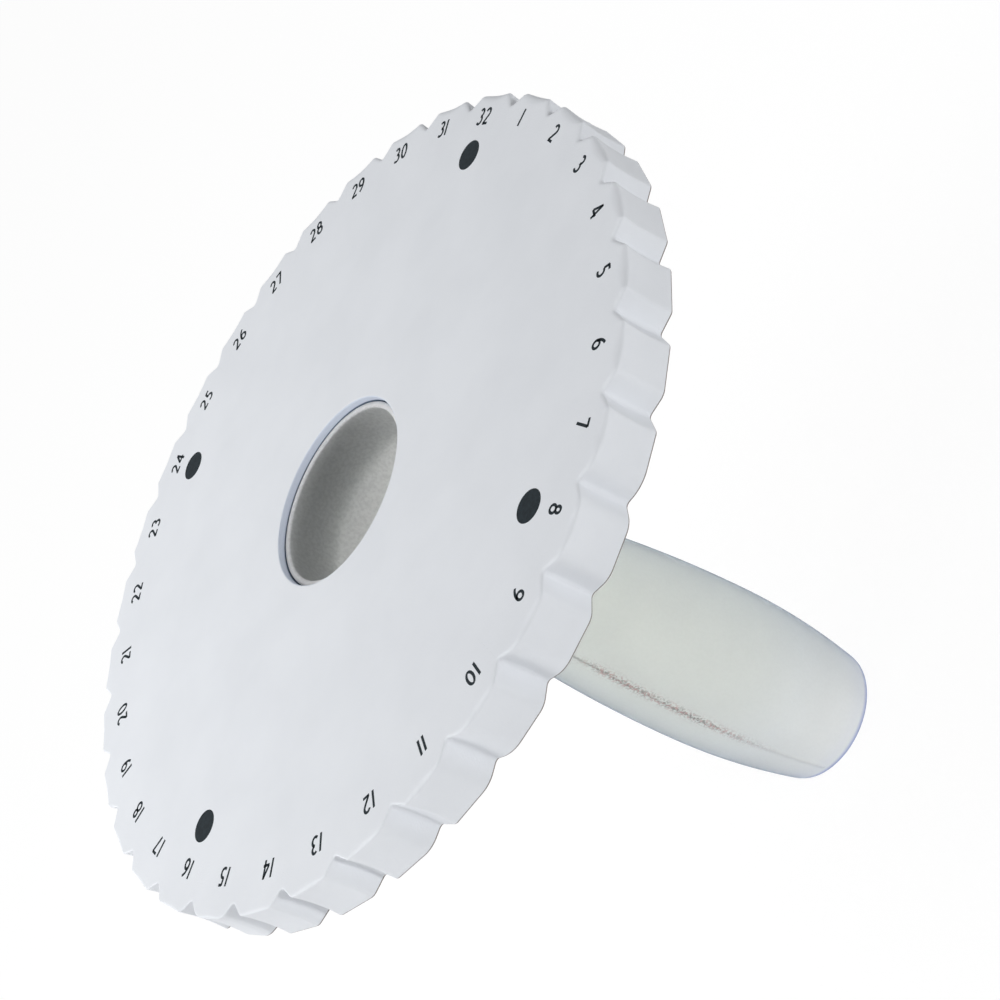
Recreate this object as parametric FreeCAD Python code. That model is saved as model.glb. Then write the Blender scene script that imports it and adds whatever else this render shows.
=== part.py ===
"""Kumihimo disk: a notched foam braiding disk that turns on a hollow plastic handle.

The frame stands the object upright on the foot of its handle. The origin is the centre of the
foot, +Z runs up the handle's axis to the braiding face, and one tooth of the disk points to +Y.
Millimetres throughout.
"""
import FreeCAD
import Part
import math
import os

# Foam disk
disk_width = 152.4            # across two opposite tooth faces, 6 in
disk_thickness = 10.0
tooth_count = 32
notch_width = 6.2             # at the rim
notch_depth = 2.5
notch_root_radius = 0.5
tooth_corner_radius = 1.0
disk_edge_break = 0.6         # soft edge left by the cutting die
slit_length = 8.0             # knife cut that grips the cord, from the root of the notch inwards
slit_width = 0.3
hole_diameter = 35.2

# Handle: one blown tube, open at both ends
handle_length = 115.0         # foot to rim
wall = 1.2
rim_recess = 1.3              # the rim stops this far below the braiding face
collar_clearance = 0.1        # radial, collar in the disk's hole
ring_clearance = 0.3          # stop ring to the back of the disk
ring_diameter = 41.0
ring_thickness = 1.8
waist_diameter = 26.2
waist_height = 88.0
swell_diameter = 31.7
swell_height = 29.0
foot_diameter = 26.2
edge_break = 0.4              # on the rim, the foot and the stop ring

# Mould parting lines, two thin ridges along the grip
seam_angle = -47.5            # degrees from +X
seam_width = 0.5
seam_height = 0.2
seam_sink = 0.6               # how deep a ridge is rooted in the wall

# Levels and radii that follow from these
face_height = handle_length + rim_recess
disk_back = face_height - disk_thickness
ring_top = disk_back - ring_clearance
ring_bottom = ring_top - ring_thickness
collar_radius = hole_diameter / 2 - collar_clearance
up = FreeCAD.Vector(0, 0, 1)


def polar(radius, angle, height=0.0):
    """Point at a radius and an angle in degrees."""
    turn = math.radians(angle)
    return FreeCAD.Vector(radius * math.cos(turn), radius * math.sin(turn), height)


def rounded_outline(corners, height):
    """Closed wire through (point, radius) corners, each turned by an arc tangent to its sides."""
    edges = []
    ends = []
    for index, (corner, radius) in enumerate(corners):
        back = corners[index - 1][0] - corner
        ahead = corners[(index + 1) % len(corners)][0] - corner
        half = back.getAngle(ahead) / 2
        reach = radius / math.tan(half)
        start = corner + back.normalize() * reach
        end = corner + ahead.normalize() * reach
        inwards = (start + end) * 0.5 - corner
        middle = corner + inwards.normalize() * (radius / math.sin(half) - radius)
        edges.append(Part.Arc(start, middle, end).toShape())
        ends.append((start, end))
    for index in range(len(ends)):
        edges.append(Part.LineSegment(ends[index - 1][1], ends[index][0]).toShape())
    wire = Part.Wire(Part.__sortEdges__(edges))
    wire.translate(up * height)
    return wire


def foam_disk():
    """Plate with V notches between flat teeth, a slit behind each notch and the handle's hole."""
    pitch = 360.0 / tooth_count
    flat_radius = disk_width / 2
    half_notch = math.degrees(math.atan(notch_width / disk_width))
    half_tooth = pitch / 2 - half_notch
    corner_radius = flat_radius / math.cos(math.radians(half_tooth))
    corners = []
    for tooth in range(tooth_count):
        middle = 90.0 + tooth * pitch
        corners.append((polar(corner_radius, middle - half_tooth), tooth_corner_radius))
        corners.append((polar(corner_radius, middle + half_tooth), tooth_corner_radius))
        corners.append((polar(flat_radius - notch_depth, middle + pitch / 2), notch_root_radius))
    plate = Part.Face(rounded_outline(corners, disk_back)).extrude(up * disk_thickness)
    centre = FreeCAD.Vector(0, 0, disk_back)
    plate = plate.cut(Part.makeCylinder(hole_diameter / 2, disk_thickness, centre))
    rims = [edge for edge in plate.Edges if edge.BoundBox.ZLength < 0.01]
    plate = plate.makeChamfer(disk_edge_break, rims)

    root = flat_radius - notch_depth
    slit = Part.makeBox(slit_length + notch_depth, slit_width, disk_thickness,
                        FreeCAD.Vector(root - slit_length, -slit_width / 2, disk_back))
    slits = []
    for tooth in range(tooth_count):
        cut = slit.copy()
        cut.rotate(FreeCAD.Vector(0, 0, 0), up, 90.0 + (tooth + 0.5) * pitch)
        slits.append(cut)
    return plate.cut(Part.makeCompound(slits))


def side_arc(start, end):
    """Arc between two points of the section that leaves the first one parallel to the axis."""
    run = end.x - start.x
    rise = end.z - start.z
    if abs(run) < 0.001:
        return Part.LineSegment(start, end).toShape()
    radius = (run * run + rise * rise) / (2 * run)
    half_turn = math.asin(rise / radius) / 2
    middle = FreeCAD.Vector(start.x + radius * (1 - math.cos(half_turn)), 0,
                            start.z + radius * math.sin(half_turn))
    return Part.Arc(start, middle, end).toShape()


def grip_curves(offset):
    """The grip's side from foot to ring, moved out from the axis by an offset.

    The swell and the waist are parallel to the axis. One arc runs from the swell down to the
    foot, two meet half way between swell and waist, and one flares from the waist out to the
    collar's radius under the stop ring.
    """
    foot = FreeCAD.Vector(foot_diameter / 2 + offset, 0, 0)
    swell = FreeCAD.Vector(swell_diameter / 2 + offset, 0, swell_height)
    waist = FreeCAD.Vector(waist_diameter / 2 + offset, 0, waist_height)
    half_way = (swell + waist) * 0.5
    top = FreeCAD.Vector(collar_radius + offset, 0, ring_bottom)
    return [side_arc(swell, foot), side_arc(swell, half_way),
            side_arc(waist, half_way), side_arc(waist, top)]


def path(*points):
    """Straight edges through (radius, height) points in the section plane."""
    vectors = [FreeCAD.Vector(radius, 0, height) for radius, height in points]
    return [Part.LineSegment(a, b).toShape() for a, b in zip(vectors, vectors[1:])]


def handle():
    """Collar, stop ring and contoured grip turned from one section, with its parting lines."""
    ring_radius = ring_diameter / 2
    outside = grip_curves(0.0)
    inside = grip_curves(-wall)
    bore_radius = collar_radius - wall
    collar = path((collar_radius, ring_bottom), (ring_radius, ring_bottom),
                  (ring_radius, ring_top), (collar_radius, ring_top),
                  (collar_radius, handle_length), (bore_radius, handle_length),
                  (bore_radius, ring_bottom))
    foot = path((foot_diameter / 2 - wall, 0), (foot_diameter / 2, 0))
    section = Part.Face(Part.Wire(Part.__sortEdges__(outside + collar + inside + foot)))
    body = section.revolve(FreeCAD.Vector(0, 0, 0), up, 360)
    body = body.makeChamfer(edge_break, open_edges(body))
    return body.fuse(parting_lines()).removeSplitter()


def open_edges(body):
    """The circles at the rim, the foot and the outside of the stop ring."""
    chosen = []
    for edge in body.Edges:
        box = edge.BoundBox
        level = box.ZMax
        flat = box.ZLength < 0.01
        at_end = min(abs(level), abs(level - handle_length)) < 0.01
        on_ring = box.XMax > ring_diameter / 2 - 0.01
        if flat and (at_end or on_ring):
            chosen.append(edge)
    return chosen


def parting_lines():
    """Two ridges on opposite sides of the grip, where the halves of the mould met."""
    outer = grip_curves(seam_height)
    inner = grip_curves(-seam_sink)
    top = path((collar_radius + seam_height, ring_bottom), (collar_radius - seam_sink, ring_bottom))
    foot = path((foot_diameter / 2 + seam_height, 0), (foot_diameter / 2 - seam_sink, 0))
    section = Part.Face(Part.Wire(Part.__sortEdges__(outer + top + inner + foot)))
    section.translate(FreeCAD.Vector(0, -seam_width / 2, 0))
    ridge = section.extrude(FreeCAD.Vector(0, seam_width, 0))
    foot_room = Part.makeBox(ring_diameter, ring_diameter, 2 * edge_break,
                             FreeCAD.Vector(0, -ring_diameter / 2, 0))
    ridge = ridge.cut(foot_room)
    ridges = []
    for side in (0, 180):
        turned = ridge.copy()
        turned.rotate(FreeCAD.Vector(0, 0, 0), up, seam_angle + side)
        ridges.append(turned)
    return ridges


os.makedirs("parts", exist_ok=True)
for name, shape in (("foam_disk", foam_disk()), ("handle", handle())):
    shape.exportStep(f"parts/{name}.step")
    print(name, "solids", len(shape.Solids), "valid", shape.isValid(), "volume", round(shape.Volume, 1))
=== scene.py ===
"""Looks of a kumihimo disk: a notched foam disk with printed numbers, turning on a hollow handle.

The frame stands the object upright on the foot of its handle, with +Z up the handle's axis. Sizes
are written in millimetres and become metres where a mesh is made.
"""
import bpy
import math
import numpy as np
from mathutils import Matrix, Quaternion, Vector


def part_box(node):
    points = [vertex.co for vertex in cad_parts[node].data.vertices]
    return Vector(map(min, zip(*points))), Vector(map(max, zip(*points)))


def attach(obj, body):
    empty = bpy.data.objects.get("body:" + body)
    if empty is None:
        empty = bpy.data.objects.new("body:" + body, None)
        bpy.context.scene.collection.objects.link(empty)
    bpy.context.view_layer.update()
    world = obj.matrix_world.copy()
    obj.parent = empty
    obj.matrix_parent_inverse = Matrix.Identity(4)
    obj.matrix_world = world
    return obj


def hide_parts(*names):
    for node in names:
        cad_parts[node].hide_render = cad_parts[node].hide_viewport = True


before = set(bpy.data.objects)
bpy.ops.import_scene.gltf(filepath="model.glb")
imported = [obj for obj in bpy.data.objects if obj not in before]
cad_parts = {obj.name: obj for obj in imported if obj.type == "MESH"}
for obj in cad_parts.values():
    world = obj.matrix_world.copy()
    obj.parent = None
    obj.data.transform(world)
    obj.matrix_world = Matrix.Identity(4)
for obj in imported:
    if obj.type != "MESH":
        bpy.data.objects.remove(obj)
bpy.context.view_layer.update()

# Camera
# The picture looks down on the numbered face from one side, with the far end of the handle
# pointing away to the lower right, so the camera is rolled over.
MM = 0.001
camera_place = Vector((376.99, -47.10, 301.11)) * MM
camera_aim = Vector((54.38, 2.52, 116.30)) * MM
camera_roll = math.radians(-64.24)
camera_data = bpy.data.cameras.new("camera")
camera_data.lens = 87.81
camera_data.sensor_width = 36.0
camera_data.clip_start = 0.01
camera_data.clip_end = 20.0
camera = bpy.data.objects.new("camera", camera_data)
camera.location = camera_place
camera.rotation_mode = "QUATERNION"
upright = (camera_aim - camera_place).to_track_quat("-Z", "Y")
camera.rotation_quaternion = upright @ Quaternion((0, 0, 1), camera_roll)
bpy.context.scene.collection.objects.link(camera)
bpy.context.scene.camera = camera
bpy.context.scene.view_settings.view_transform = "Standard"

# Studio
# A white room with three lamps: a small one that throws crisp shadows into the notches, a soft low
# one at the other side and a soft one over the high numbers.
# The white floor shows as white to the eye but keeps a soft share of the object's shadow.
world_strength = 0.32
floor_size = 8.0
floor_white = 0.90
floor_glow = 1.04


def seen_ray():
    """1 for rays from the eye and for mirrored or refracted ones, else 0."""
    path = nodes.new("ShaderNodeLightPath")
    total = path.outputs["Is Camera Ray"]
    for kind in ("Is Glossy Ray", "Is Transmission Ray"):
        either = nodes.new("ShaderNodeMath")
        either.operation = "MAXIMUM"
        links.new(total, either.inputs[0])
        links.new(path.outputs[kind], either.inputs[1])
        total = either.outputs["Value"]
    return total


def spread(value, from_low, from_high, to_low=0.0, to_high=1.0):
    """A value carried in proportion from one range to another, and held at its ends."""
    node = nodes.new("ShaderNodeMapRange")
    for socket, number in (("From Min", from_low), ("From Max", from_high),
                           ("To Min", to_low), ("To Max", to_high)):
        node.inputs[socket].default_value = number
    links.new(value, node.inputs["Value"])
    return node.outputs["Result"]


world = bpy.data.worlds.new("white_room")
bpy.context.scene.world = world
world.use_nodes = True
nodes, links = world.node_tree.nodes, world.node_tree.links
background = nodes["Background"]
links.new(spread(seen_ray(), 0, 1, world_strength, 1.0), background.inputs["Strength"])
background.inputs["Color"].default_value = (1.0, 1.0, 1.0, 1.0)


def lamp(name, place, aim, size, watts):
    """Round area lamp at a place in millimetres, turned to face its aim."""
    data = bpy.data.lights.new(name, "AREA")
    data.shape = "DISK"
    data.size = size
    data.energy = watts
    holder = bpy.data.objects.new(name, data)
    holder.location = Vector(place) * MM
    holder.rotation_mode = "QUATERNION"
    holder.rotation_quaternion = (Vector(aim) - Vector(place)).to_track_quat("-Z", "Y")
    bpy.context.scene.collection.objects.link(holder)


lamp("eye_side_lamp", (888, 135, 190), (0, 0, 90), 0.12, 2.42)
lamp("low_side_lamp", (-80, -895, 190), (0, 0, 90), 0.36, 1.87)
lamp("face_lamp", (-135, -200, 495), (0, 0, 116), 0.35, 1.32)

half = floor_size / 2
floor_mesh = bpy.data.meshes.new("floor")
floor_mesh.from_pydata([(-half, -half, 0), (half, -half, 0), (half, half, 0), (-half, half, 0)],
                       [], [(0, 1, 2, 3)])
floor = bpy.data.objects.new("floor", floor_mesh)
bpy.context.scene.collection.objects.link(floor)
floor_paint = bpy.data.materials.new("floor_paint")
floor_paint.use_nodes = True
nodes, links = floor_paint.node_tree.nodes, floor_paint.node_tree.links
matt = nodes["Principled BSDF"]
matt.inputs["Base Color"].default_value = (0.9, 0.9, 0.9, 1.0)
matt.inputs["Roughness"].default_value = 0.9
glow = nodes.new("ShaderNodeEmission")
glow.inputs["Strength"].default_value = floor_glow
share = nodes.new("ShaderNodeMath")
share.operation = "MULTIPLY"
share.inputs[1].default_value = floor_white
links.new(seen_ray(), share.inputs[0])
mix = nodes.new("ShaderNodeMixShader")
links.new(share.outputs["Value"], mix.inputs["Fac"])
links.new(matt.outputs["BSDF"], mix.inputs[1])
links.new(glow.outputs["Emission"], mix.inputs[2])
links.new(mix.outputs["Shader"], nodes["Material Output"].inputs["Surface"])
floor_mesh.materials.append(floor_paint)

# Braiding disk
# Closed-cell foam, 10 mm thick, stamped by one die: 32 flat teeth with V notches between them, and
# a knife cut behind each notch that pinches the cord. The die drags the face down at the rim and
# squeezes the back edge round. The back's soft edge is painted dark brown, a painted shade that
# draws a thin dark outline along the silhouette.
disk_width = 152.4
tooth_count = 32
notch_width = 6.2
notch_depth = 2.5
notch_root = 0.8
tooth_corner = 1.2
# Corner radii of the worn teeth, on the side of the lower number and of the higher
worn_corners = {6: (1.2, 2.5), 7: (1.2, 6.0), 8: (4.0, 4.0), 9: (2.5, 4.5), 10: (3.0, 5.5),
                11: (4.5, 1.2), 12: (4.5, 1.2), 13: (2.0, 1.5), 14: (1.5, 2.0), 15: (3.0, 4.0)}
slit_length = 8.0
slit_gap = 0.004              # the foam closes on itself
hole_radius = 17.6
hole_edge = 0.25
drag_in = (2.0, 0.9)          # at the middle of a tooth's flat and on the flank of a notch
drag_down = (1.3, 0.7)
drag_tilt = 0.35
back_edge = 0.4
dish = 0.3                    # hollow of the side at mid thickness
face_low = 0.04               # room for the ink inside the solid's height
# Painted shade on the hole's wall: a shaded blue-grey, and dark blue-grey beside the collar between
# these heights.
gap_low, gap_high = 114.85, 115.05   # where the hole's wall turns dark beside the collar
gap_shade = (0.13, 0.18, 0.25, 1.0)
painted_hole_wall_shade = (0.63, 0.685, 0.79, 1.0)
# Painted shade: the back's soft edge is painted dark brown, so a thin dark outline shows along the
# silhouette.
painted_back_edge_shade = (0.24, 0.21, 0.20, 1.0)
disk_low, disk_high = (corner.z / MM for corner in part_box("foam_disk"))
disk_high -= face_low
pitch = 2 * math.pi / tooth_count


def ring_arc(centre, radius, start, end, count):
    """Points centre + radius * (cos a, sin a) for a evenly spaced from start to end."""
    angle = np.linspace(start, end, count)
    return centre + radius * np.stack([np.cos(angle), np.sin(angle)], 1), angle


def half_tooth(round_corner):
    """Plan of half a tooth, from the middle of its flat, on +X, to the edge of the next slit.

    A flat, a rounded corner, a straight flank and a rounded notch root, each tangent to the last.
    Returns the points, the angle of the outward normal at each, and a share that grows from 0 at
    the middle of the flat through 0.7 at its end to 1 on the flank.
    """
    flat_shares = (0, 0.1, 0.25, 0.45)
    radius = disk_width / 2
    corner = np.array([radius, radius * math.tan(pitch / 2 - math.atan(notch_width / disk_width))])
    root = (radius - notch_depth) * np.array([math.cos(pitch / 2), math.sin(pitch / 2)])
    along = (root - corner) / np.linalg.norm(root - corner)
    lean = math.atan2(-along[0], along[1])
    flat_end = corner - (0, round_corner * math.tan(lean / 2))
    bend, bend_angle = ring_arc(flat_end - (round_corner, 0), round_corner, 0, lean, 9)
    root_start = root - along * notch_root * math.tan(lean - pitch / 2)
    centre = root_start + notch_root * np.array([math.cos(lean), math.sin(lean)])
    last = pitch / 2 + math.asin(slit_gap / 2 / notch_root)
    hollow, hollow_angle = ring_arc(centre, -notch_root, lean, last, 5)
    flat = np.linspace((radius, 0), flat_end, len(flat_shares) + 1)[:-1]
    flank = np.linspace(bend[-1], root_start, 5)[1:-1]
    points = np.concatenate([flat, bend, flank, hollow])
    normals = np.concatenate([np.zeros(len(flat)), bend_angle, np.full(len(flank), lean),
                              hollow_angle])
    share = np.concatenate([flat_shares, 0.7 + 0.3 * bend_angle / lean,
                            np.ones(len(flank) + len(hollow))])
    return points, normals, share


def rim_columns():
    """The whole rim, anticlockwise from the tooth on +Y, a row of columns for each tooth.

    Two half teeth, the first mirrored, are turned to each tooth's place. Returns the points, the
    normal angles, the shares and the number of columns to a tooth.
    """
    teeth = []
    for tooth in range(tooth_count):
        low, high = worn_corners.get((tooth_count - tooth) % tooth_count, (tooth_corner,) * 2)
        before, before_angle, before_share = half_tooth(high)
        after, after_angle, after_share = half_tooth(low)
        x, y = np.concatenate([before[:0:-1] * (1, -1), after]).T
        turn = math.pi / 2 + pitch * tooth
        teeth.append(np.stack([np.cos(turn) * x - np.sin(turn) * y,
                               np.sin(turn) * x + np.cos(turn) * y,
                               turn + np.concatenate([-before_angle[:0:-1], after_angle]),
                               np.concatenate([before_share[:0:-1], after_share])], 1))
    x, y, normal_angle, share = np.stack(teeth).reshape(-1, 4).T
    return np.stack([x, y], 1), normal_angle, share, len(teeth[0])


def half_section(edge_in, edge_down, tilt):
    """One face of the disk: the plan and the height above mid thickness of each row of columns.

    The rows run from the hole's wall round the hole's soft edge, out over the face on circles,
    then on shares of the way from the slits' end to the rim, over the rim's soft edge, a quarter
    of an ellipse edge_in across and edge_down deep, and down the dished side to mid thickness.
    The die was not quite level, so the soft edge shrinks by 1 + tilt * (y / radius - 1). Returns
    the rows, the row at the slits' end, the rows of the soft edge and the columns to a tooth.
    """
    rim, normal_angle, share, per_tooth = rim_columns()
    normal = np.stack([np.cos(normal_angle), np.sin(normal_angle)], 1)
    ray = rim / np.linalg.norm(rim, axis=1)[:, None]
    shrunk = 1 + tilt * (ray[:, 1:] - 1)
    across = np.interp(share, (0, 1), edge_in)[:, None] * shrunk
    deep = np.interp(share, (0, 1), edge_down)[:, None] * shrunk
    flat = np.zeros_like(deep)
    quarter = np.linspace(0, math.pi / 2, 9)
    half_thick = (disk_high - disk_low) / 2
    slit_end = disk_width / 2 - notch_depth - slit_length
    rows = [(ray * hole_radius, flat)]
    for turn in quarter[::2]:
        rows.append((ray * (hole_radius + hole_edge * (1 - math.cos(turn))),
                     flat + half_thick - hole_edge * (1 - math.sin(turn))))
    for radius in np.linspace(hole_radius + 2 * hole_edge, slit_end, 8):
        rows.append((ray * radius, flat + half_thick))
    slit_row = len(rows) - 1
    inset = rim - normal * across
    for share_out in (0.35, 0.7, 0.93, 1.0):
        rows.append((rows[slit_row][0] + (inset - rows[slit_row][0]) * share_out,
                     flat + half_thick))
    soft_rows = slice(len(rows), len(rows) + len(quarter) - 2)
    for turn in quarter[1:]:
        rows.append((rim - normal * across * (1 - math.sin(turn)),
                     half_thick - deep * (1 - math.cos(turn))))
    for down in (0.15, 0.4, 0.7, 1.0):
        rows.append((rim - normal * dish * (1 - (1 - down) ** 2),
                     (half_thick - deep) * (1 - down)))
    return np.stack([np.hstack(row) for row in rows]), slit_row, soft_rows, per_tooth


def disk_mesh():
    """The disk as a closed ring of sections, one section for each point of the rim.

    The face's rows and the back's, turned over, share their first and last rows. Rows past the
    slits' end are left open between the two banks of a slit, and each bank is one flat wall.
    Returns the points, the faces and a mark at each point, 1 on the back's soft edge, which is
    painted with a dark brown shade, and else 0.
    """
    upper, slit_row, soft_rows, per_tooth = half_section(drag_in, drag_down, drag_tilt)
    lower = half_section((back_edge,) * 2, (back_edge,) * 2, 0)[0][1:-1] * (1, 1, -1)
    points = np.concatenate([upper.reshape(-1, 3), lower.reshape(-1, 3)])
    points[:, 2] += (disk_high + disk_low) / 2

    count, columns = upper.shape[:2]
    top = np.arange(count * columns).reshape(count, columns)
    bottom = top.copy()
    bottom[1:-1] = count * columns + np.arange((count - 2) * columns).reshape(-1, columns)
    is_slit = np.arange(columns) % per_tooth == per_tooth - 1
    faces = []
    for row in range(count - 1):
        kept = np.ones(columns, bool) if row < slit_row else ~is_slit
        for grid, order in ((top, 1), (bottom, -1)):
            near, far = grid[row], grid[row + 1]
            quad = np.stack([near, far, np.roll(far, -1), np.roll(near, -1)], 1)
            faces.append(quad[kept][:, ::order])
    bank = np.flatnonzero(is_slit)
    back = (bank + 1) % columns
    for column, order in ((bank, -1), (back, 1)):
        wall = np.concatenate([bottom[slit_row:-1, column], top[slit_row:, column][::-1]]).T
        faces.append(wall[:, ::order])
    faces.append(np.stack([top[slit_row, bank], bottom[slit_row, bank],
                           bottom[slit_row, back], top[slit_row, back]], 1))
    soft = np.zeros((count, columns))
    soft[soft_rows] = 1.0
    back_edge_shade_mark = np.concatenate([np.zeros(soft.size), soft[1:-1].ravel()])
    return points, [face for group in faces for face in group.tolist()], back_edge_shade_mark


def new_piece(name, points, faces, sharp_degrees):
    """Object in metres from points in millimetres and faces, some of which close to triangles."""
    mesh = bpy.data.meshes.new(name)
    polygons = [list(dict.fromkeys(face)) for face in faces]
    mesh.from_pydata((points * MM).tolist(), [], polygons)
    mesh.shade_smooth()
    mesh.set_sharp_from_angle(angle=math.radians(sharp_degrees))
    piece = bpy.data.objects.new(name, mesh)
    bpy.context.scene.collection.objects.link(piece)
    return piece


foam = bpy.data.materials.new("foam")
foam.use_nodes = True
nodes, links = foam.node_tree.nodes, foam.node_tree.links
shader = nodes["Principled BSDF"]
place = nodes.new("ShaderNodeTexCoord").outputs["Object"]


def noise(scale, detail, roughness=0.5):
    """Noise over the piece's own place, with scale waves to the metre."""
    texture = nodes.new("ShaderNodeTexNoise")
    texture.inputs["Scale"].default_value = scale
    texture.inputs["Detail"].default_value = detail
    texture.inputs["Roughness"].default_value = roughness
    links.new(place, texture.inputs["Vector"])
    return texture.outputs["Fac"]


def ramp(value, low_at, low, high_at, high):
    """Colours from low to high between two values."""
    band = nodes.new("ShaderNodeValToRGB")
    band.color_ramp.elements[0].position = low_at
    band.color_ramp.elements[0].color = (*low, 1.0)
    band.color_ramp.elements[1].position = high_at
    band.color_ramp.elements[1].color = (*high, 1.0)
    links.new(value, band.inputs["Fac"])
    return band.outputs["Color"]


def mixed(kind, share, first, second):
    """Two colours, or links to them, mixed in one of the mix node's ways."""
    node = nodes.new("ShaderNodeMix")
    node.data_type = "RGBA"
    node.blend_type = kind
    for socket, value in ((0, share), (6, first), (7, second)):
        if isinstance(value, (tuple, float)):
            node.inputs[socket].default_value = value
        else:
            links.new(value, node.inputs[socket])
    return node.outputs[2]


def mark(name):
    """A value stored on the mesh's points."""
    node = nodes.new("ShaderNodeAttribute")
    node.attribute_name = name
    return node.outputs["Fac"]


def bumps(*layers):
    """Bump nodes one on another, from (height, strength, millimetres high) layers."""
    normal = None
    for height, amount, tall in layers:
        bump = nodes.new("ShaderNodeBump")
        bump.inputs["Strength"].default_value = amount
        bump.inputs["Distance"].default_value = tall * MM
        links.new(height, bump.inputs["Height"])
        if normal:
            links.new(normal, bump.inputs["Normal"])
        normal = bump.outputs["Normal"]
    links.new(normal, shader.inputs["Normal"])


plan = nodes.new("ShaderNodeVectorMath")
plan.operation = "MULTIPLY"
plan.inputs[1].default_value = (1.0, 1.0, 0.0)
links.new(place, plan.inputs[0])
from_axis = nodes.new("ShaderNodeVectorMath")
from_axis.operation = "LENGTH"
links.new(plan.outputs["Vector"], from_axis.inputs[0])
in_hole = spread(from_axis.outputs["Value"], (hole_radius + hole_edge) * MM,
                 (hole_radius + 0.05) * MM)
axes = nodes.new("ShaderNodeSeparateXYZ")
links.new(place, axes.inputs["Vector"])
above_gap = spread(axes.outputs["Z"], gap_low * MM, gap_high * MM)
# The foam's white, with painted shade on the hole's wall, darkest beside the collar.
face_white = ramp(noise(60, 3), 0.35, (0.80, 0.825, 0.865), 0.65, (0.83, 0.855, 0.895))
foam_white_and_shade = mixed("MIX", in_hole, face_white, mixed("MIX", above_gap, gap_shade, painted_hole_wall_shade))
# Painted shade: the back's soft edge turns dark brown.
links.new(mixed("MIX", mark("back_edge_shade_mark"), foam_white_and_shade, painted_back_edge_shade), shader.inputs["Base Color"])
links.new(spread(noise(900, 2), 0, 1, 0.68, 0.85), shader.inputs["Roughness"])
cells = nodes.new("ShaderNodeTexVoronoi")
cells.inputs["Scale"].default_value = 2800
links.new(place, cells.inputs["Vector"])
bumps((cells.outputs["Distance"], 0.25, 0.05), (noise(350, 3), 0.2, 0.08))
shader.inputs["Specular IOR Level"].default_value = 0.3

disk_points, disk_faces, disk_back_edge_shade_mark = disk_mesh()
disk = new_piece("braiding_disk", disk_points, disk_faces, 40)
disk.data.attributes.new("back_edge_shade_mark", "FLOAT", "POINT").data.foreach_set("value", disk_back_edge_shade_mark)
disk.data.materials.append(foam)
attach(disk, "disk")
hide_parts("foam_disk")

# Printed marks
# The numbers 1 to 32, one to a tooth with its top outwards, and a round spot inside every eighth,
# screen printed on the face in black ink. The print sits a little off the middle of the disk.
number_ring = 70.39
number_height = 3.3
number_turn = 0.88            # degrees
digit_gap = 0.2               # in digit heights, as is the stroke
stroke_width = 0.155
spot_ring = 62.79
spot_radius = 2.9
spot_points = 64
print_offset = (0.27, 1.29)
ink_high = 0.02
ink_sunk = 0.02


def bow(x, y, wide, tall, start, end):
    """Elliptical arc about (x, y) between two angles in degrees."""
    angle = np.radians(np.linspace(start, end, max(6, round(abs(end - start) / 15))))
    return np.stack([x + wide * np.cos(angle), y + tall * np.sin(angle)], 1)


def bar(*ends):
    """Straight stroke between two points."""
    return np.array(ends, float).reshape(2, 2)


# Strokes of each digit's middle line, one unit tall, and the digit's width
six = [bow(0.27, 0.30, 0.21, 0.25, 0, 360), bow(0.62, 0.29, 0.56, 0.72, 112, 178)]
digits = {
    "0": ([bow(0.26, 0.5, 0.21, 0.45, 0, 360)], 0.52),
    "1": ([bar(0.07, 0, 0.07, 1)], 0.14),
    "2": ([bow(0.24, 0.71, 0.20, 0.24, 160, -33), bar(0.41, 0.58, 0.05, 0.06),
           bar(0.01, 0.06, 0.47, 0.06)], 0.48),
    "3": ([bow(0.20, 0.74, 0.18, 0.21, 145, -90), bow(0.20, 0.29, 0.22, 0.24, 90, -140)], 0.44),
    "4": ([bar(0.38, 0, 0.38, 1), bar(0.38, 0.97, 0.03, 0.30), bar(0, 0.29, 0.52, 0.29)], 0.52),
    "5": ([bar(0.12, 0.94, 0.42, 0.94), bar(0.13, 0.97, 0.10, 0.54),
           bow(0.18, 0.31, 0.23, 0.25, 112, -130)], 0.46),
    "6": (six, 0.50),
    "7": ([bar(0, 0.94, 0.48, 0.94), bar(0.45, 0.95, 0.14, 0)], 0.48),
    "8": ([bow(0.25, 0.735, 0.17, 0.21, 0, 360), bow(0.25, 0.29, 0.21, 0.24, 0, 360)], 0.50),
    "9": ([(0.5, 1.0) - stroke for stroke in six], 0.50),
}


def ink_band(line):
    """Flat bar of ink along a line: the line moved half a stroke to each side, above and below.

    Returns points, four to a station, and quads round each span and over the two ends.
    """
    step = np.gradient(line, axis=0)
    side = np.stack([-step[:, 1], step[:, 0]], 1) / np.linalg.norm(step, axis=1)[:, None]
    side *= stroke_width * number_height / 2
    left, right = line + side, line - side
    high = np.full((len(line), 1), disk_high + ink_high)
    low = np.full((len(line), 1), disk_high - ink_sunk)
    points = np.stack([np.hstack([left, high]), np.hstack([right, high]),
                       np.hstack([right, low]), np.hstack([left, low])], 1).reshape(-1, 3)
    station = 4 * np.arange(len(line) - 1)
    spans = [np.stack([station + a, station + b, station + 4 + b, station + 4 + a], 1)
             for a, b in ((0, 1), (1, 2), (2, 3), (3, 0))]
    last = 4 * (len(line) - 1)
    ends = np.array([(3, 2, 1, 0), (last, last + 1, last + 2, last + 3)])
    return points, np.concatenate(spans + [ends])


def join(parts):
    """One set of points and quads from many."""
    starts = np.cumsum([0] + [len(points) for points, faces in parts[:-1]])
    quads = np.concatenate([faces + start for start, (points, faces) in zip(starts, parts)])
    return np.concatenate([points for points, faces in parts]), quads.tolist()


def towards(number):
    """Unit vector from the middle of the print towards a number."""
    angle = math.radians(90 - 360 / tooth_count * number + number_turn)
    return np.array([math.cos(angle), math.sin(angle)])


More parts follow.
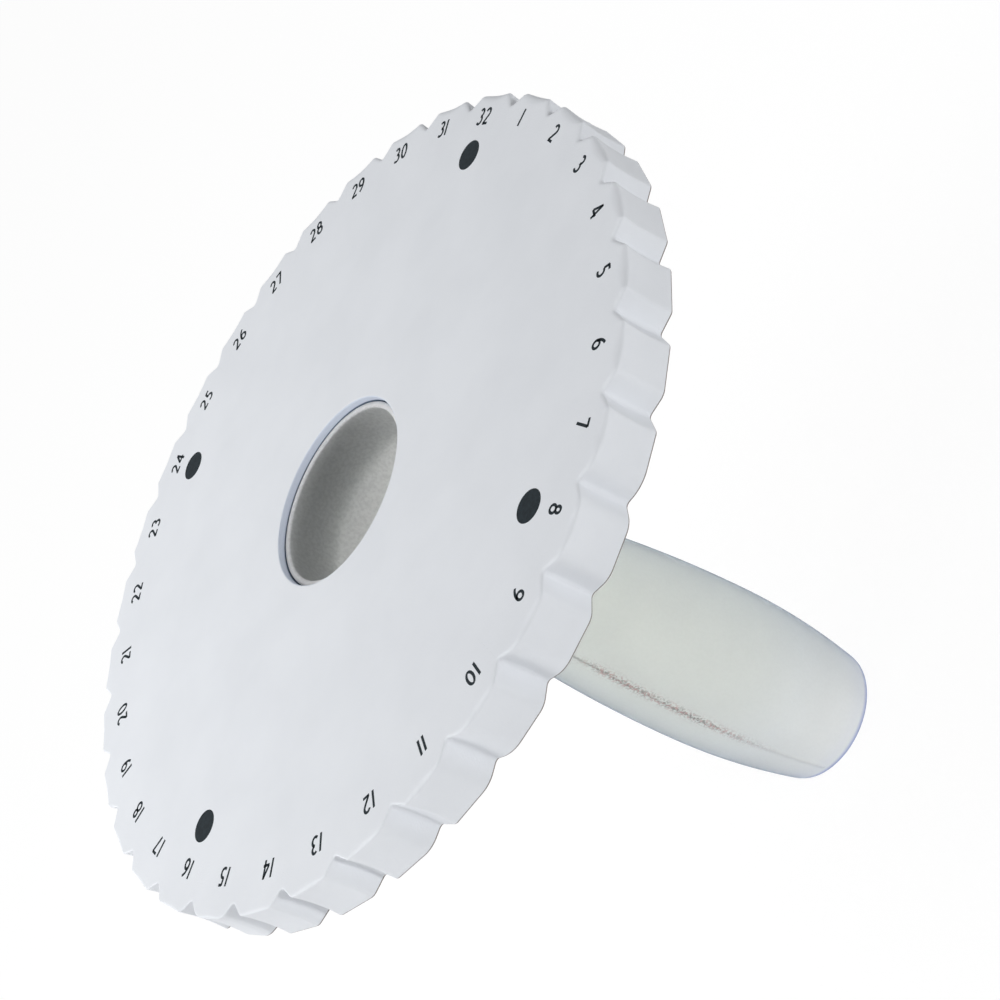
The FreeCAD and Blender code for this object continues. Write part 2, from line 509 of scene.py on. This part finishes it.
def number_bands(number):
    """Ink bands of one number, turned to its tooth and moved out to the ring."""
    bands = []
    text = str(number)
    width = sum(digits[digit][1] for digit in text) + digit_gap * (len(text) - 1)
    start = -width / 2
    out = towards(number)
    along = np.array([out[1], -out[0]])
    for digit in text:
        strokes, digit_width = digits[digit]
        for stroke in strokes:
            x, y = ((stroke + (start, -0.5)) * number_height).T
            line = np.outer(x, along) + np.outer(y + number_ring, out) + print_offset
            bands.append(ink_band(line))
        start += digit_width + digit_gap
    return bands


def spot(number):
    """Round spot of ink inside a number: a side between two circles, and strips across both."""
    centre = towards(number) * spot_ring + print_offset
    circle = ring_arc(centre, spot_radius, 0, 2 * math.pi, spot_points + 1)[0][:-1]
    points = np.concatenate([np.insert(circle, 2, disk_high + level, axis=1)
                             for level in (ink_high, -ink_sunk)])
    step = np.arange(spot_points)
    ahead = (step + 1) % spot_points
    side = np.stack([step, step + spot_points, ahead + spot_points, ahead], 1)
    near = step[:spot_points // 2 - 1]
    strips = np.stack([near, near + 1, spot_points - 2 - near, spot_points - 1 - near], 1)
    return points, np.concatenate([side, strips, strips[:, ::-1] + spot_points])


ink = bpy.data.materials.new("print_ink")
ink.use_nodes = True
nodes, links = ink.node_tree.nodes, ink.node_tree.links
shader = nodes["Principled BSDF"]
place = nodes.new("ShaderNodeTexCoord").outputs["Object"]
links.new(ramp(noise(1500, 2), 0.35, (0.006, 0.011, 0.015), 0.7, (0.012, 0.020, 0.026)),
          shader.inputs["Base Color"])
shader.inputs["Roughness"].default_value = 0.7
shader.inputs["Specular IOR Level"].default_value = 0.15
bumps((noise(1200, 3), 0.2, 0.03))

numbers = new_piece("printed_numbers",
                    *join([band for number in range(1, tooth_count + 1)
                           for band in number_bands(number)]), 30)
spots = new_piece("printed_spots", *join([spot(number) for number in (8, 16, 24, 32)]), 30)
for marks in (numbers, spots):
    marks.data.materials.append(ink)
    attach(marks, "disk")

# Handle
# One blown tube of frosted plastic, open at both ends and 1.2 mm thick. Its collar is the disk's
# axle, a ring stops the disk, and two rough parting lines run down the contoured grip.
handle_length = 115.0
wall = 1.2
collar_radius = 17.4
ring_radius = 20.5
ring_low, ring_high = 104.2, 106.0
waist_radius, waist_height = 13.1, 88.0
swell_radius, swell_height = 15.85, 29.0
foot_radius = 13.1
round_edge = 0.4
fillet = 0.3
seam_angle = math.radians(-47.5)
seam_width = 0.45
seam_height = 0.18
seam_low, seam_high = 1.5, 103.0


def side_arc(height, radius_from, height_from, radius_to, height_to):
    """Radius at a height on the arc that leaves its first point parallel to the axis."""
    run = radius_to - radius_from
    rise = height_to - height_from
    bend = (run * run + rise * rise) / (2 * run)
    root = np.sqrt(np.maximum(bend * bend - (height - height_from) ** 2, 0))
    return radius_from + bend - math.copysign(1, bend) * root


def grip_radius(height):
    """Outside radius from the foot to the stop ring, as four arcs."""
    half_radius = (swell_radius + waist_radius) / 2
    half_height = (swell_height + waist_height) / 2
    foot = side_arc(height, swell_radius, swell_height, foot_radius, 0.0)
    over = side_arc(height, swell_radius, swell_height, half_radius, half_height)
    under = side_arc(height, waist_radius, waist_height, half_radius, half_height)
    flare = side_arc(height, waist_radius, waist_height, collar_radius, ring_low)
    return np.select([height < swell_height, height < half_height, height < waist_height],
                     [foot, over, under], flare)


def soft_corner(radius, height, start, end):
    """Quarter turn of the rounded edge about a point of the section, angles in degrees."""
    return bow(radius, height, round_edge, round_edge, start, end)


def tube_section():
    """Closed section as (radius, height) points: up the outside, round the rim, down the inside.

    Returns the points, the number of them outside the grip, and the last one on top of the rim.
    """
    grip = np.linspace(2 * round_edge, ring_low - 0.05, 190)
    inner = np.linspace(ring_low - 0.5, 2 * round_edge, 60)
    bore = collar_radius - wall
    edge = round_edge
    outside = np.concatenate([soft_corner(foot_radius - edge, edge, -90, 0),
                              np.stack([grip_radius(grip), grip], 1)])
    ring = np.concatenate([
        [(collar_radius + fillet, ring_low)],
        soft_corner(ring_radius - edge, ring_low + edge, -90, 0),
        soft_corner(ring_radius - edge, ring_high - edge, 0, 90),
        [(collar_radius + fillet, ring_high), (collar_radius, ring_high + fillet),
         (collar_radius, handle_length - 2 * edge)]])
    rim = soft_corner(collar_radius - edge, handle_length - edge, 0, 90)
    inside = np.concatenate([
        soft_corner(bore + edge, handle_length - edge, 90, 180),
        [(bore, handle_length - 2 * edge), (bore, ring_high), (bore, ring_low)],
        np.stack([grip_radius(inner) - wall, inner], 1),
        soft_corner(foot_radius - wall + edge, edge, 180, 270)])
    section = np.concatenate([outside, ring, rim, inside])
    return section, len(outside), len(section) - len(inside)


def tube_mesh():
    """The section turned about the axis, with a ridge raised on the grip at each parting line.

    A ridge is a bell curve across, exp(-(distance / width) ** 2), and its height wanders along
    the grip as sines of the height. Returns the points, the faces, the bell curve at each point
    as the parting line's mark, and a mark that is 1 on the inside and else 0.
    """
    even = np.linspace(-math.pi, math.pi, 144, endpoint=False)
    close = np.array([-1.2, -0.8, -0.5, -0.25, 0, 0.25, 0.5, 0.8, 1.2]) / swell_radius
    seams = (seam_angle, seam_angle + math.pi)
    turn = np.unique(np.concatenate([even] + [seam + close for seam in seams]).round(6))
    section, grip_rows, rim_row = tube_section()
    row = np.arange(len(section))[:, None]
    radius = np.broadcast_to(section[:, :1], (len(section), len(turn))).copy()
    height = section[:, 1:]
    on_grip = (row < grip_rows) & (height > seam_low) & (height < seam_high)
    ridge = np.zeros_like(radius)
    for seam in seams:
        gap = (turn - seam + math.pi) % (2 * math.pi) - math.pi
        ridge += np.exp(-(gap * radius / seam_width) ** 2)
    wander = (0.75 + 0.35 * np.sin(height * 2.3) * np.sin(height * 3.7 + 1)
              + 0.2 * np.sin(height * 5.9))
    ridge *= on_grip
    radius += ridge * seam_height * wander
    points = np.stack([radius * np.cos(turn), radius * np.sin(turn),
                       np.broadcast_to(height, radius.shape)], 2).reshape(-1, 3)
    grid = np.arange(radius.size).reshape(radius.shape)
    up = np.roll(grid, -1, axis=0)
    faces = np.stack([grid, np.roll(grid, -1, axis=1), np.roll(up, -1, axis=1), up], 2)
    inner = np.broadcast_to(row > rim_row, radius.shape).astype(float)
    return points, faces.reshape(-1, 4).tolist(), ridge.ravel(), inner.ravel()


plastic = bpy.data.materials.new("frosted_plastic")
plastic.use_nodes = True
nodes, links = plastic.node_tree.nodes, plastic.node_tree.links
shader = nodes["Principled BSDF"]
place = nodes.new("ShaderNodeTexCoord").outputs["Object"]
axes = nodes.new("ShaderNodeSeparateXYZ")
links.new(place, axes.inputs["Vector"])
up_handle = spread(axes.outputs["Z"], 0, handle_length * MM)


def by_height(*stops):
    """Colour that changes along the handle, from (height, colour) stops."""
    band = nodes.new("ShaderNodeValToRGB")
    elements = band.color_ramp.elements
    while len(elements) < len(stops):
        elements.new(0.5)
    for element, (height, colour) in zip(elements, stops):
        element.position = height / handle_length
        element.color = (*colour, 1.0)
    links.new(up_handle, band.inputs["Fac"])
    return band.outputs["Color"]


def times(first, second):
    """Two colours multiplied."""
    return mixed("MULTIPLY", 1.0, first, second)


black, white = (0.0, 0.0, 0.0), (1.0, 1.0, 1.0)
clear_tint = (0.98, 0.98, 0.94)
end_tint = (0.935, 0.93, 0.885)
# Painted shade: dark blue on the foot's rim and on the collar where it sits in the disk's hole.
painted_foot_rim_shade = (0.30, 0.36, 0.66)
painted_collar_gap_shade = (0.11, 0.16, 0.27)
# Painted light inside near the foot, and painted shade in the bore within the disk.
painted_light_inside_foot = (0.98, 0.985, 0.96)
grip_inside = (0.96, 0.965, 0.90)
painted_bore_shade = (0.47, 0.48, 0.48)
# Painted shade on the outside: a dark blue line on the foot's rim, and dark blue on the collar
# inside the disk's hole.
outer_tint_and_shade = by_height((0.0, painted_foot_rim_shade), (0.5, painted_foot_rim_shade), (1.4, end_tint), (12.0, end_tint),
                       (20.0, clear_tint), (105.5, clear_tint), (106.5, painted_collar_gap_shade),
                       (114.4, painted_collar_gap_shade), (114.8, (0.95, 0.95, 0.97)))
# Painted light and shade on the inside: lighter near the foot, and the bore darkening to grey
# through the disk's thickness, back to light at the rim.
inner_tint_light_and_shade = by_height((0.0, painted_light_inside_foot), (18.0, painted_light_inside_foot), (30.0, grip_inside),
                       (96.0, grip_inside), (100.0, (0.97, 0.98, 0.96)),
                       (104.5, (0.84, 0.85, 0.845)), (109.0, (0.60, 0.61, 0.61)),
                       (113.0, painted_bore_shade), (114.75, painted_bore_shade), (114.95, (0.88, 0.88, 0.90)))
wall_tint_light_and_shade = mixed("MIX", mark("inner_side"), outer_tint_and_shade, inner_tint_light_and_shade)
cloudy = ramp(noise(120, 3), 0.35, (0.975, 0.975, 0.975), 0.65, white)
grain = ramp(noise(1700, 2), 0.38, (0.97, 0.97, 0.97), 0.62, white)
rough_grain = ramp(noise(1500, 3), 0.36, (0.86, 0.86, 0.86), 0.62, white)
collar = by_height((86.0, black), (96.0, white))
tint = times(times(wall_tint_light_and_shade, cloudy),
             mixed("MIX", times(mark("inner_side"), collar), grain, rough_grain))


def ridge_share(power):
    """The parting line's mark raised to a power: above 1 keeps only its crest, below 1 widens it."""
    node = nodes.new("ShaderNodeMath")
    node.operation = "POWER"
    node.inputs[1].default_value = power
    links.new(mark("parting_line"), node.inputs[0])
    return node.outputs["Value"]


crest = by_height((3.0, (0.30, 0.30, 0.30)), (28.0, (0.40, 0.40, 0.40)),
                  (34.0, (0.75, 0.75, 0.75)), (62.0, (0.90, 0.90, 0.90)))
tint = mixed("MIX", times(ridge_share(3.0), crest), tint, (0.24, 0.22, 0.21, 1.0))
speckle = ramp(noise(2200, 1), 0.46, black, 0.53, white)
stain = by_height((14.0, black), (22.0, (0.4, 0.4, 0.4)), (31.0, white), (57.0, white),
                  (64.0, (0.2, 0.2, 0.2)))
burnt = ramp(noise(1400, 1), 0.42, (0.46, 0.20, 0.20), 0.58, (0.16, 0.14, 0.13))
tint = mixed("MIX", times(times(ridge_share(0.25), speckle), stain), tint, burnt)
links.new(tint, shader.inputs["Base Color"])
links.new(spread(noise(500, 2), 0, 1, 0.72, 0.78), shader.inputs["Roughness"])
shader.inputs["IOR"].default_value = 1.5
links.new(collar, shader.inputs["Subsurface Weight"])
shader.inputs["Subsurface Radius"].default_value = (1.0, 1.0, 1.0)
shader.inputs["Subsurface Scale"].default_value = 3.0 * MM
links.new(by_height((80.0, (0.95, 0.95, 0.95)), (96.0, (0.20, 0.20, 0.20))),
          shader.inputs["Transmission Weight"])
links.new(by_height((86.0, white), (96.0, black)), shader.inputs["Coat Weight"])
shader.inputs["Coat IOR"].default_value = 1.0
shader.inputs["Coat Roughness"].default_value = 0.3
shader.inputs["Coat Tint"].default_value = (0.957, 0.964, 0.976, 1.0)
bumps((noise(700, 3), 0.12, 0.05), (noise(90, 2), 0.1, 0.2))

tube_points, tube_faces, tube_ridge, tube_inner = tube_mesh()
tube = new_piece("handle_tube", tube_points, tube_faces, 50)
for name, values in (("parting_line", tube_ridge), ("inner_side", tube_inner)):
    tube.data.attributes.new(name, "FLOAT", "POINT").data.foreach_set("value", values)
tube.data.materials.append(plastic)
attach(tube, "handle")
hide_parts("handle")
